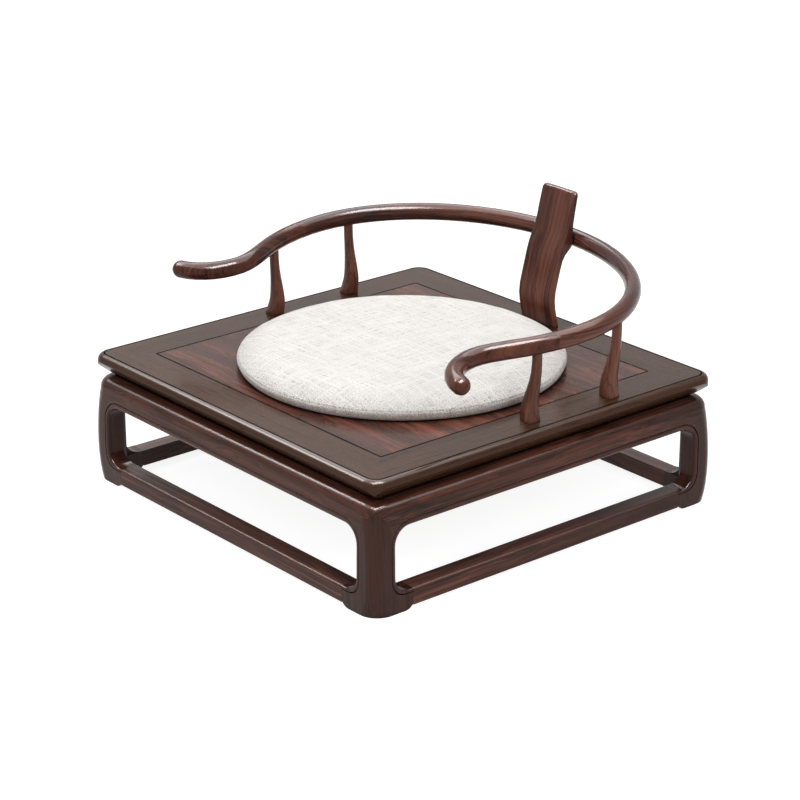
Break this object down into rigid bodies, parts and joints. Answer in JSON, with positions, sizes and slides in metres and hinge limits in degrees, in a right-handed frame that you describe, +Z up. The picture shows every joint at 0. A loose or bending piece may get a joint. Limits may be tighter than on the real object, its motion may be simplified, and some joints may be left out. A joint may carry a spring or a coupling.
{
  "type": "meditation chair",
  "caption": "Low, wide square hardwood seat on a waisted base with bulging legs, with a horseshoe arm rail, a curved back splat and a loose round cushion for sitting cross-legged.",
  "frame": {"origin": "middle of the chair's plan, at floor level", "axes": "+X to the right when the chair is seen from its front; +Y from the open front to the splat; +Z up"},
  "size_m": [0.7038, 0.6984, 0.4285],
  "materials": {
    "frame_wood": "satin",
    "arm_wood": "satin",
    "panel_wood": "satin",
    "plain_wood": "matt",
    "linen_cushion": "matt"
  },
  "bodies": {
    "chair": {"seat_frame_front": "frame_wood", "seat_frame_back": "frame_wood", "seat_frame_left": "frame_wood", "seat_frame_right": "frame_wood", "seat_panel": "panel_wood", "batten_left": "plain_wood", "batten_middle": "plain_wood", "batten_right": "plain_wood", "waist_front": "frame_wood", "waist_back": "frame_wood", "waist_left": "frame_wood", "waist_right": "frame_wood", "apron_front": "frame_wood", "apron_back": "frame_wood", "apron_left": "frame_wood", "apron_right": "frame_wood", "leg_front_left": "frame_wood", "leg_front_right": "frame_wood", "leg_back_left": "frame_wood", "leg_back_right": "frame_wood", "stretcher_front": "frame_wood", "stretcher_back": "frame_wood", "stretcher_left": "frame_wood", "stretcher_right": "frame_wood", "arm_rail_back": "arm_wood", "arm_rail_left": "arm_wood", "arm_rail_right": "arm_wood", "scarf_pegs": "plain_wood", "back_splat": "arm_wood", "splat_peg": "plain_wood", "post_front_left": "arm_wood", "post_front_right": "arm_wood", "post_rear_left": "arm_wood", "post_rear_right": "arm_wood"},
    "cushion": {"cushion": "linen_cushion"}
  },
  "joints": [
    {"name": "cushion_lift", "type": "slide", "parent": "chair", "child": "cushion", "axis": [0, 0, 1], "range_m": [0, 0.3]}
  ]
}
